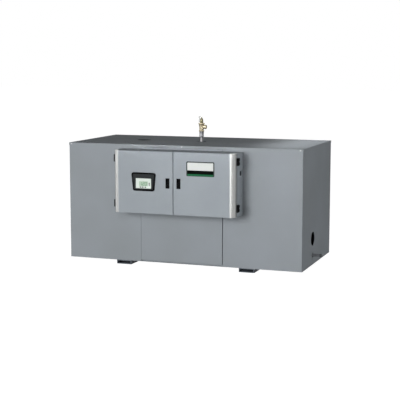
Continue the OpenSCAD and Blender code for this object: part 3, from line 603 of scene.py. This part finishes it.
field = [flatMark(roundLoop(*display["field"], 0.002), *display["fieldPlace"], 0.0001)]
makePiece("display_field", field, printedInk("lcdField", "#9FB6A1", "#A8BDA9"),
          "door_left")

segmentSets = {"1": "bc", "2": "abged", "0": "abcdef"}
segmentPlaces = {"a": (0, 1, 1), "b": (0.5, 0.5, 0), "c": (0.5, -0.5, 0), "d": (0, -1, 1),
                 "e": (-0.5, -0.5, 0), "f": (-0.5, 0.5, 0), "g": (0, 0, 1)}
digits = []
for place, figure in enumerate("120"):
    middle = display["fieldPlace"][0] + (place - 1.1) * display["pitch"]
    for name in segmentSets[figure]:
        x, z, level = segmentPlaces[name]
        upright = (display["bar"], display["tall"] / 2 - display["bar"] * 0.6)
        size = (display["digit"] - display["bar"] * 0.6, display["bar"]) if level else upright
        centre = (middle + x * display["digit"], z * display["tall"] / 2 + display["fieldPlace"][1])
        loop = roundLoop(size[0], size[1], display["bar"] / 2.4, 3)
        loop[:, 0] += display["lean"] * (loop[:, 1] + centre[1])
        digits.append(flatMark(loop, *centre, 0.0003))
makePiece("display_digits", digits, printedInk("lcdDigits", "#67896E", "#739679"),
          "door_left")

# two arrows beside the field, one up and one down, and three pads under it
arrow = np.array([[0.0065, -0.0055], [0, 0.0065], [-0.0065, -0.0055]])
marks = []
for turn, z in zip((1, -1), display["arrows"]):
    marks.append(flatMark((arrow * [1, turn])[::turn], display["arrowX"], z))
for x in display["pads"]:
    marks.append(flatMark(roundLoop(0.012, 0.0075, 0.001, 3), x, display["padZ"]))
makePiece("display_marks", marks, printedInk("overlayInk", "#0C0F0E", "#161A18"),
          "door_left")
print("display made")

plate = {"side": 0.008, "over": 0.008, "under": 0.002, "corner": 0.005, "blackOver": 0.7225,
         "whiteOver": 0.750, "white": "#D0D3D0", "black": "#060A07", "green": "#255F3F"}
plateLow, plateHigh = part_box("nameplate")
plate["low"], plate["high"] = plateLow.z, plateHigh.z
plate["blackFrom"] = (skidTop + plate["blackOver"] - plateLow.z) / (plateHigh.z - plateLow.z)
plate["whiteFrom"] = (skidTop + plate["whiteOver"] - plateLow.z) / (plateHigh.z - plateLow.z)
plateZ = (plateLow.z + plateHigh.z + plate["under"] - plate["over"]) / 2
plateMiddle = ((plateLow.x + plateHigh.x) / 2, plateLow.y, plateZ)


def plateLoop(inset):
    width = plateHigh.x - plateLow.x - 2 * (plate["side"] + inset)
    height = plateHigh.z - plateLow.z - plate["under"] - plate["over"] - 2 * inset
    return roundLoop(width, height, plate["corner"] - inset, 6)


face = carry(plateLoop, [(0, -0.0004), (0, 0.0002), (0.0002, 0.0003)])
makePiece("nameplate_face", [placed(face, plateMiddle, front)], printedPlate(plate),
          "door_right")
print("nameplate made")

# relief valve: each height is over its own foot, in metres
pipeLow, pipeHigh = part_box("relief_pipe")
couplingLow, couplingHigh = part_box("relief_coupling")
bonnetLow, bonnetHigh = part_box("relief_bonnet")
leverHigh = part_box("relief_lever")[1]
reliefX, reliefY = (pipeLow.x + pipeHigh.x) / 2, (pipeLow.y + pipeHigh.y) / 2
valve = {"pipe": (pipeHigh.x - pipeLow.x) / 2, "pipeBore": 0.01045, "thread": 0.0008, "pitch": 0.00181,
         "coupling": (couplingHigh.x - couplingLow.x) / 2, "socket": 0.01365, "steps": 48,
         "hex": 0.038, "bossRise": 0.036, "bore": 0.0112, "showing": 0.009, "cut": 0.012}
steps = valve["steps"]


def onAxis(profile, z):
    return placed(turned(profile, steps), (reliefX, reliefY, z), top)


# the cut thread starts its showing length under the coupling
length = pipeHigh.z - pipeLow.z
bare = couplingLow.z - pipeLow.z - valve["showing"]
cutThread = threadGrid(valve["pipe"] - valve["thread"], valve["thread"], valve["pitch"], valve["cut"],
                       steps, 5)
pipeSkin = np.concatenate([
    turned([(valve["pipe"], 0), (valve["pipe"], bare)], steps), cutThread + np.array([0, 0, bare + 0.0002]),
    turned([(valve["pipe"] - 0.0005, length), (valve["pipeBore"], length), (valve["pipeBore"], 0)], steps)])
makePiece("relief_pipe_skin", [(placed(pipeSkin, (reliefX, reliefY, pipeLow.z), top),)], zincDipped,
          "heater", hides=["relief_pipe"])

tall, wide = couplingHigh.z - couplingLow.z, valve["coupling"]
bead = [(valve["socket"] + 0.0008, 0), (wide - 0.0014, 0), (wide - 0.0003, 0.0007), (wide, 0.002),
        (wide, 0.0058), (wide - 0.0007, 0.0072), (wide - 0.0011, 0.009)]
couplingProfile = bead + [(r, tall - z) for r, z in reversed(bead)]
couplingProfile += [(valve["socket"], tall - 0.001), (valve["socket"], 0.001)]
makePiece("relief_coupling_skin", [(onAxis(couplingProfile, couplingLow.z),)], zincDipped,
          "heater", hides=["relief_coupling"])

hexFoot = carry(lambda inset: hexLoop(valve["hex"] - 2 * inset, steps),
                [(0.002, 0), (0.0002, 0.0012), (0, 0.0016), (0, 0.0085), (0.0004, 0.0092), (0.003, 0.0104)])
waist = smoothProfile([(0.0172, 0.009), (0.0176, 0.013), (0.0186, 0.024), (0.0202, 0.040), (0.0214, 0.051),
                       (0.0224, 0.0565)])
flange = [(0.0245, 0.0582), (0.0257, 0.0592), (0.026, 0.0604), (0.026, 0.0656), (0.0253, 0.0667),
          (0.0150, 0.067)]
bossOut = smoothProfile([(0.0160, 0.008), (0.0149, 0.016), (0.0144, 0.0225), (0.0149, 0.0272)])
collar = [(0.0168, 0.0282), (0.0174, 0.0290), (0.0175, 0.0305), (0.0175, 0.0385), (0.0168, 0.0399),
          (0.0132, 0.040), (0.0123, 0.0390)]
innerThread = threadGrid(valve["bore"], valve["thread"], valve["pitch"], 0.0155, steps, 5)[::-1]
bossSkin = np.concatenate([turned(np.vstack([bossOut, collar]), steps), innerThread + np.array([0, 0, 0.023]),
                           turned([(valve["bore"], 0.022)], steps)])
valveFoot = couplingHigh.z
bossPlace = (reliefX, reliefY, valveFoot + valve["bossRise"])
castings = [placed(hexFoot, (reliefX, reliefY, valveFoot), top),
            onAxis(np.vstack([waist, flange]), valveFoot), placed(bossSkin, bossPlace, rightEnd)]
makePiece("relief_valve_casting", castings, castBrass, "heater", hides=["relief_body"])

stemTop = bonnetHigh.z - bonnetLow.z
bonnetFoot = [(0.0132, 0), (0.0135, 0.0005), (0.0135, 0.0112), (0.0131, 0.0118), (0.0127, 0.0124),
              (0.0127, 0.0138)]
cone = smoothProfile([(0.0133, 0.0148), (0.0126, 0.022), (0.0114, 0.0295), (0.0101, 0.0347),
                      (0.0082, 0.0368)])
stem = [(0.0042, 0.0372), (0.0035, 0.0378), (0.0035, stemTop - 0.0008), (0.0027, stemTop)]
bonnet = onAxis(np.vstack([bonnetFoot, cone, stem]), bonnetLow.z)
pinHead = [(0.0030, -0.0095), (0.0033, -0.0092), (0.0033, -0.0088), (0.0020, -0.0087)]
pinProfile = pinHead + [(r, -y) for r, y in reversed(pinHead)]

# the lever's strap, from over its pin: along, down round a bend and down its tail
lever = {"under": 0.008, "bend": 0.007, "thick": 0.002, "width": 0.017, "ears": 0.0075, "earRise": 0.0015}
pinPlace = (reliefX, reliefY, leverHigh.z - lever["under"])
makePiece("relief_bonnet_cap", [bonnet, placed(turned(pinProfile, 24), pinPlace, back)],
          dulledBronze, "heater", hides=["relief_bonnet"])
turnDown = np.linspace(np.pi / 2, np.pi, 9)
strap = np.vstack([np.c_[np.linspace(0.005, -0.012, 9), np.full(9, lever["bend"])],
                   np.c_[-0.013 + lever["bend"] * np.cos(turnDown), lever["bend"] * np.sin(turnDown)],
                   np.c_[np.full(9, -0.020), np.linspace(-0.002, -0.0395, 9)]])
leverParts = [placed(swept(strap, roundLoop(lever["thick"], lever["width"], 0.0008)), pinPlace, top)]
ear = block(0.010, 0.011, -lever["thick"] / 2, lever["thick"] / 2, 0.004, 0.0004)
for out in (-lever["ears"], lever["ears"]):
    leverParts.append(placed(ear, (reliefX, reliefY + out, pinPlace[2] + lever["earRise"]), front))
makePiece("relief_lever_strap", leverParts, zincPlated, "relief_lever",
          hides=["relief_lever"])
print("relief valve made")


spud = {"bore": 0.040, "sleeve": 0.026, "wall": 0.0006, "pitch": 0.003175, "depth": 0.0016, "in": 0.0005}


def spudThread(steps=56):
    # the thread's helix is the inside of a closed sleeve sunk in the spud's wall
    bore, depth, sleeve = spud["bore"], spud["depth"], spud["sleeve"]
    inner = threadGrid(bore - depth, depth, spud["pitch"], sleeve, steps)
    outside = bore + spud["wall"]
    return np.concatenate([inner, turned([(outside, sleeve), (outside, 0)], steps)])


outletLow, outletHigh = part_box("outlet_spud")
inletLow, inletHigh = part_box("inlet_spud")
start = spud["sleeve"] + spud["in"]
outletPlace = ((outletLow.x + outletHigh.x) / 2, (outletLow.y + outletHigh.y) / 2, outletHigh.z - start)
inletPlace = (inletHigh.x - start, (inletLow.y + inletHigh.y) / 2, (inletLow.z + inletHigh.z) / 2)
for name, place, side in (("outlet_spud_thread", outletPlace, top),
                          ("inlet_spud_thread", inletPlace, rightEnd)):
    makePiece(name, [(placed(spudThread(), place, side),)], castIron, "heater")

# a drain thread is its radius, depth, pitch and length
drain = {"thread": (0.01065, 0.0005, 0.00181, 0.012), "showing": 0.010, "ribs": 10, "ribRise": 0.0003}
capLow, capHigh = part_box("drain_cap")
drainPlace = (capLow.x, (capLow.y + capHigh.y) / 2, (capLow.z + capHigh.z) / 2)
capProfile = [(0.0112, 0), (0.0130, 0), (0.0136, 0.0006), (0.0137, 0.0040), (0.0128, 0.0050),
              (0.0126, 0.0148), (0.0120, 0.0172), (0.0102, 0.0190), (0.0070, 0.0197), (0.0030, 0.0199)]
crown = turned(capProfile, 80, drain["ribs"], drain["ribRise"])
makePiece("drain_cap_casting", [placed(crown, drainPlace, rightEnd)], primedIron, "heater",
          hides=["drain_cap"])
drainThread = threadGrid(*drain["thread"], 40, 5)
drainStart = (capLow.x - drain["showing"], drainPlace[1], drainPlace[2])
makePiece("drain_pipe_thread", [placed(drainThread, drainStart, rightEnd)], primedPipe,
          "heater")
print("water connections made")

# control gear on the mounting plate: an out is a height over the plate, and most blocks
# stand half a millimetre in the one under them
sunk = 0.0005
gearLow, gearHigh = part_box("mounting_plate")
gearFace = gearLow.y


def onPlate(part, x, z):
    return placed(part, (x, gearFace, z), front)


def middles(node, width, count):
    low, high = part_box(node)
    return np.linspace(low.x + width / 2, high.x - width / 2, count), (low.z + high.z) / 2


def either(middle, off):
    return middle - off, middle + off


def slotScrew(x, out, z, radius, rise, *slot):
    return screwHead((x, gearFace - out, z), front, radius, rise, slotLoop(*slot))


contactor = {"size": (0.070, 0.084), "base": 0.040, "body": (0.062, 0.056), "out": 0.068, "rows": 0.0355,
             "barriers": (-0.0315, -0.0105, 0.0105, 0.0315), "ways": (-0.021, 0.0, 0.021),
             "terminal": 0.0412, "screw": (0.0036, 0.003, 0.0052, 0.001)}
contactorsX, contactorZ = middles("contactors", contactor["size"][0], 4)
base, out, terminal = contactor["base"], contactor["out"], contactor["terminal"]
shells, metal = [], []
for x in contactorsX:
    shells += [onPlate(block(*contactor["size"], 0, base, 0.002, 0.001), x, contactorZ),
               onPlate(block(*contactor["body"], base - sunk, out, 0.003, 0.002), x, contactorZ),
               onPlate(block(0.020, 0.011, out - sunk, 0.0692), x, contactorZ + 0.012)]
    for row in range(5):
        shells.append(onPlate(block(0.044, 0.0018, out - sunk, 0.0688), x, contactorZ - 0.006 - row * 0.0038))
    for z in either(contactorZ, contactor["rows"]):
        for across in contactor["barriers"]:
            shells.append(onPlate(block(0.0018, 0.012, base - sunk, 0.053), x + across, z))
        for across in contactor["ways"]:
            metal.append(onPlate(block(0.015, 0.010, base - sunk, terminal), x + across, z))
            metal.append(slotScrew(x + across, terminal, z, *contactor["screw"]))
makePiece("contactor_bodies", shells, phenolic, "heater", hides=["contactors"])
makePiece("contactor_terminals", metal, zincPlated, "heater")

fuse = {"size": (0.070, 0.080), "base": 0.012, "barriers": (-0.033, -0.011, 0.011, 0.033), "pitch": 0.022,
        "out": 0.023, "half": 0.029, "clips": 0.0235, "clip": 0.0080, "tube": 0.0070, "ferrule": 0.0075}
fusesX, fuseZ = middles("fuse_blocks", fuse["size"][0], 4)
opening = np.linspace(np.radians(140), np.radians(400), 21)
clip = swept(fuse["clip"] * np.c_[np.cos(opening), np.sin(opening)], roundLoop(0.0008, 0.009, 0.0003, 2))
clip = moved(clip, 0, 0, fuse["out"])
clipFoot = block(0.012, 0.009, fuse["base"] - 0.0002, 0.0158)
ferrule = turned([(0.0066, 0), (0.0074, 0.0005), (fuse["ferrule"], 0.001), (fuse["ferrule"], 0.0105),
                  (0.0072, 0.0112), (0.0072, 0.0120), (0.0074, 0.0126), (0.0073, 0.0134)], 24)
tube = turned([(0.0068, 0.012), (fuse["tube"], 0.0125), (fuse["tube"], 0.0455), (0.0068, 0.046)], 24)
bases, tubes, ends = [], [], []
for x in fusesX:
    bases.append(onPlate(block(*fuse["size"], 0, fuse["base"], 0.002, 0.001), x, fuseZ))
    for across in fuse["barriers"]:
        bases.append(onPlate(block(0.0026, 0.076, fuse["base"] - sunk, 0.026), x + across, fuseZ))
    for k in (-1, 0, 1):
        fuseX, fuseY = x + k * fuse["pitch"], gearFace - fuse["out"]
        foot = (fuseX, fuseY, fuseZ - fuse["half"])
        tubes.append(placed(tube, foot, top))
        ends.append(placed(ferrule, foot, top))
        ends.append(placed(ferrule * [1, 1, -1], (fuseX, fuseY, fuseZ + fuse["half"]), top))
        for z in either(fuseZ, fuse["clips"]):
            ends += [onPlate(clip, fuseX, z), onPlate(clipFoot, fuseX, z)]
makePiece("fuse_bases", bases, phenolic, "heater", hides=["fuse_blocks"])
makePiece("fuse_tubes", tubes, fuseTube, "heater")
makePiece("fuse_ferrules", ends, zincPlated, "heater")

strip = {"size": (0.220, 0.044), "base": 0.010, "ways": 10, "pitch": 0.020, "wayOut": 0.020, "rows": 0.0105,
         "terminal": 0.0214, "screw": (0.0038, 0.003, 0.0056, 0.0011)}
stripX, stripZ = middles("terminal_strip", strip["size"][0], 1)
stripX = stripX[0]
stripLeft = stripX - strip["ways"] * strip["pitch"] / 2
base, terminal = strip["base"], strip["terminal"]
stripBody = [onPlate(block(*strip["size"], 0, base, 0.002, 0.001), stripX, stripZ)]
stripMetal = []
for wall in range(strip["ways"] + 1):
    x = stripLeft + wall * strip["pitch"]
    stripBody.append(onPlate(block(0.003, 0.036, base - sunk, 0.032), x, stripZ))
for way in range(strip["ways"]):
    x = stripLeft + (way + 0.5) * strip["pitch"]
    stripBody.append(onPlate(block(0.0175, 0.036, base - sunk, strip["wayOut"]), x, stripZ))
    for z in either(stripZ, strip["rows"]):
        stripMetal.append(onPlate(block(0.013, 0.012, strip["wayOut"] - sunk, terminal), x, z))
        stripMetal.append(slotScrew(x, terminal, z, *strip["screw"]))
makePiece("terminal_strip_body", stripBody, creamThermoset, "heater",
          hides=["terminal_strip"])
makePiece("terminal_strip_screws", stripMetal, zincPlated, "heater")

coil = {"size": (0.090, 0.100), "foot": 0.004, "boards": 0.038, "boardOut": 0.058, "feet": (0.038, 0.043),
        "screws": (-0.022, -0.0075, 0.0075, 0.022), "screw": (0.0034, 0.0028, 0.005, 0.001)}
coilX, coilZ = middles("control_transformer", coil["size"][0], 1)
coilX = coilX[0]
core = [block(*coil["size"], 0, coil["foot"], 0.006), block(0.076, 0.064, 0.0038, 0.056, 0.001)]
winding = block(0.048, 0.090, 0.012, 0.0482, 0.010, 0.004)
board = block(0.062, 0.014, 0.0480, coil["boardOut"], 0.001)
makePiece("transformer_core", [onPlate(part, coilX, coilZ) for part in core], laminated, "heater",
          hides=["control_transformer"])
makePiece("transformer_winding", [onPlate(winding, coilX, coilZ)], windingCopper, "heater")
low, high = either(coilZ, coil["boards"])
makePiece("transformer_boards", [onPlate(board, coilX, z) for z in (high, low)], creamThermoset, "heater")

heads = []
for z in (low, high):
    for across in coil["screws"]:
        heads.append(slotScrew(coilX + across, coil["boardOut"], z, *coil["screw"]))
plateInset = 0.030
for x in (gearLow.x + plateInset, gearHigh.x - plateInset):
    for z in (gearLow.z + plateInset, gearHigh.z - plateInset):
        heads += hexScrew((x, gearFace, z), front, 0.016, 0.010, 0.005)
for x in either(coilX, coil["feet"][0]):
    for z in either(coilZ, coil["feet"][1]):
        heads += hexScrew((x, gearFace - coil["foot"], z), front, 0.009, 0.0055, 0.003)
makePiece("plate_screws", heads, zincPlated, "heater")

# flat seals round the doorways, low enough for the door hinges' leaves to pass over them
seal = {"flange": 0.020, "inner": 0.003, "wide": 0.008, "rise": 0.0008, "corner": 0.004, "bevel": 0.001}
sealTall = boxHigh.z - boxLow.z - 2 * seal["flange"]
sealZ = (boxLow.z + boxHigh.z) / 2
seals = []
for left, right in ((boxLow.x, gapX), (gapX, boxHigh.x)):
    wide = right - left - 2 * seal["flange"]
    inner, outer = seal["inner"], seal["inner"] + seal["wide"]
    loops = [roundLoop(wide + 2 * out, sealTall + 2 * out, seal["corner"] + out, 6)
             for out in (outer, outer - seal["bevel"], inner + seal["bevel"], inner)]
    skin = rings(loops, [0.0, seal["rise"], seal["rise"], 0.0])
    seals.append((placed(skin, ((left + right) / 2, boxLow.y, sealZ), front),))
makePiece("doorway_seals", seals, mouldedRubber, "heater")
print("control gear made")


def seenDirectly(tree):
    # 1 for rays from the camera, off a glossy surface or through glass, 0 for diffuse light
    rays = add(tree, "LightPath").outputs
    seen = add(tree, "Math", {0: rays["Is Camera Ray"], 1: rays["Is Glossy Ray"]}, operation="MAXIMUM")
    return add(tree, "Math", {0: seen.outputs[0], 1: rays["Is Transmission Ray"]},
               operation="MAXIMUM").outputs[0]


world = bpy.data.worlds.new("studio")
bpy.context.scene.world = world
world.use_nodes = True
air = world.node_tree
air.nodes.clear()
light = {"horizon": 0.62, "overhead": 0.04, "band": 0.35}
seen = seenDirectly(air)
upward = add(air, "SeparateXYZ", {"Vector": add(air, "TexCoord").outputs["Generated"]}).outputs["Z"]
glow = spread(air, upward, 0.0, light["band"], light["horizon"], light["overhead"])
soft = add(air, "Background", {"Color": linear("#F4F7FB"), "Strength": glow})
white = add(air, "Background", {"Color": (1.0, 1.0, 1.0, 1.0), "Strength": 1.0})
mixed = add(air, "MixShader", {0: seen, 1: soft.outputs[0], 2: white.outputs[0]})
add(air, "OutputWorld", {"Surface": mixed.outputs[0]})

floorHalf, floorCells = 40.0, 8
columns = floorCells + 1
floorMesh = bpy.data.meshes.new("floor")
reach = np.linspace(-floorHalf, floorHalf, columns)
floorX, floorY = np.meshgrid(reach, reach)
floorPoints = np.stack([floorX, floorY, np.zeros_like(floorX)], -1).reshape(-1, 3)
cell = (np.arange(floorCells)[:, None] * columns + np.arange(floorCells)).ravel()
corners = np.c_[cell, cell + 1, cell + columns + 1, cell + columns]
floorMesh.from_pydata(floorPoints.tolist(), [], corners.tolist())
floor = bpy.data.objects.new("floor", floorMesh)
bpy.context.scene.collection.objects.link(floor)

# pale studio floor: painted board; seen directly it is white and keeps the shadow that falls on it
floorPaint, tree, where = startMaterial("paleStudioFloor")
seen = seenDirectly(tree)
board = add(tree, "BsdfDiffuse", {"Color": linear("#B4B6B8")})
pale = add(tree, "BsdfDiffuse", {"Color": linear("#8A8A8A")})
lift = add(tree, "Emission", {"Color": (1.0, 1.0, 1.0, 1.0), "Strength": 1.0})
shown = add(tree, "AddShader", {0: pale.outputs[0], 1: lift.outputs[0]})
ground = add(tree, "MixShader", {0: seen, 1: board.outputs[0], 2: shown.outputs[0]})
add(tree, "OutputMaterial", {"Surface": ground.outputs[0]})
floorMesh.materials.append(floorPaint)


def softLamp(name, place, target, size, watts, spreadDegrees=180, mirrored=True):
    # a soft box that faces its target; a smaller spread narrows its beam
    light = bpy.data.lights.new(name, "AREA")
    light.shape = "RECTANGLE"
    light.size, light.size_y = size
    light.energy = watts
    light.spread = math.radians(spreadDegrees)
    holder = bpy.data.objects.new(name, light)
    holder.location = place
    away = holder.location - Vector(target)
    holder.rotation_euler = away.to_track_quat("Z", "Y").to_euler()
    holder.visible_camera = False
    holder.visible_glossy = mirrored
    bpy.context.scene.collection.objects.link(holder)


# place, target, size, watts, spread, mirrored: the side lamp lights the end sheet, and stays
# out of what the edge strip mirrors
lamps = {
    "keyLamp": ((-2.9, -11.6, 2.6), (0, 0, 0.5), (5.0, 4.4), 1060),
    "fillLamp": ((0.9, -4.2, 1.9), (0.9, 0, 0.7), (1.4, 1.2), 22),
    "sideLamp": ((6.5, -0.3, 1.2), (0.9, 0.1, 0.5), (2.0, 2.0), 85, 180, False),
    "rightLamp": ((-1.7, -9.0, 1.9), (1.9, -0.33, 1.5), (1.5, 1.5), 5, 24),
    "roofLamp": ((0.76, 0.26, 2.1), (0.76, 0.26, 0.9), (0.3, 1.2), 1.5, 36),
    "stripLamp": ((4.1, -7.7, 0.28), (0.43, -0.5, 0.78), (1.4, 0.4), 0.2, 5),
    "leftLamp": ((-6.5, -2.2, 0.6), (-0.5, -0.5, 0.68), (1.5, 1.5), 52),
    "lipLamp": ((-0.04, -3.6, 1.75), (-0.04, -0.38, 0.925), (1.0, 0.1), 0.11, 5),
}
for name, lamp in lamps.items():
    softLamp(name, *lamp)
print("stage and lamps made")

view = {"right": 2.911, "away": 7.645, "up": 1.605, "turn": 19.869, "tilt": 7.704, "lens": 97.09}
camera = bpy.data.cameras.new("camera")
camera.lens = view["lens"]
camera.sensor_width = 36.0
camera.clip_end = 200
cameraHolder = bpy.data.objects.new("camera", camera)
cameraHolder.location = (jacketX + view["right"], jacketFront - view["away"], skidTop + view["up"])
cameraHolder.rotation_euler = (math.radians(90 - view["tilt"]), 0, math.radians(view["turn"]))
bpy.context.scene.collection.objects.link(cameraHolder)
bpy.context.scene.camera = cameraHolder
bpy.context.scene.view_settings.view_transform = "Standard"
print("camera placed")
